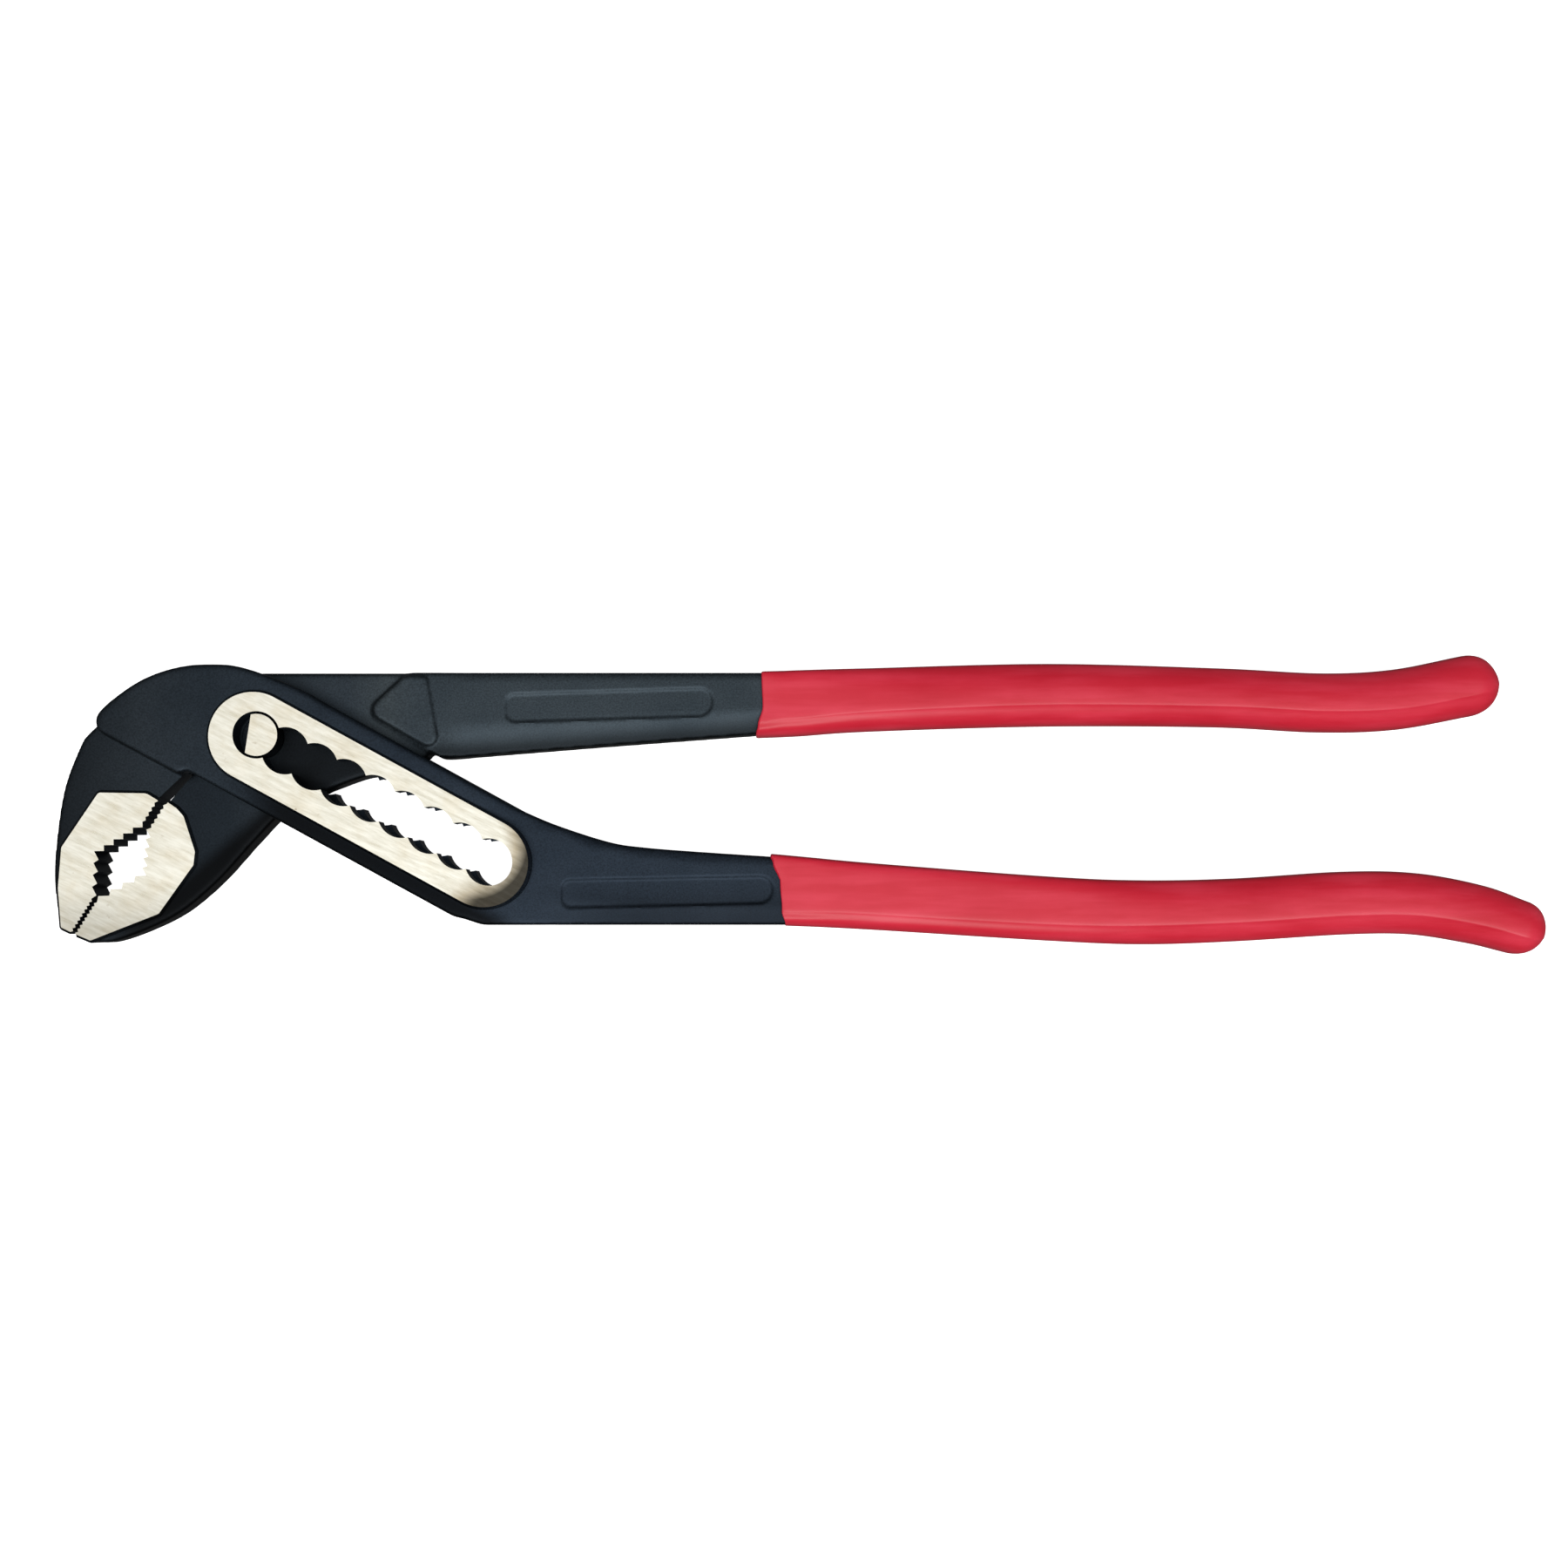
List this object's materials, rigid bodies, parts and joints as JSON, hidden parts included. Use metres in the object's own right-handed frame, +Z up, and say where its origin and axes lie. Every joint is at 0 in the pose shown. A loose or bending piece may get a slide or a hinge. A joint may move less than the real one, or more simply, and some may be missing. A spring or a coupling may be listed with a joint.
{
  "type": "tongue and groove pliers",
  "caption": "Slip-joint pliers with a box joint: two curved jaws with teeth, a scalloped position slot with a pivot pin, and two long curved handles with dipped vinyl grips",
  "frame": {"origin": "middle of the bounding box on the plane that the tool lies on", "axes": "+X runs along the handles away from the jaws, +Y towards the upper handle, +Z up through the thickness"},
  "size_m": [0.3998, 0.0802, 0.02],
  "materials": {
    "forged_steel": "black phosphate over forged steel, with the jaw faces and the faces round the slot ground bare",
    "pin_steel": "bare ground steel",
    "vinyl": "satin red dipped vinyl"
  },
  "bodies": {
    "slotted": {"slotted_half": "forged_steel", "lower_grip": "vinyl"},
    "pin": {"pivot_pin": "pin_steel"},
    "inner": {"inner_half": "forged_steel", "upper_grip": "vinyl"}
  },
  "joints": [
    {"name": "position_slide", "type": "slide", "parent": "slotted", "child": "pin", "axis": [0.8771, -0.4802, 0], "range_m": [0, 0.03464]},
    {"name": "handle_pivot", "type": "hinge", "parent": "pin", "child": "inner", "pos_m": [-0.14319, 0.01792, 0.01], "axis": [0, 0, 1], "range_deg": [0, 60]}
  ]
}
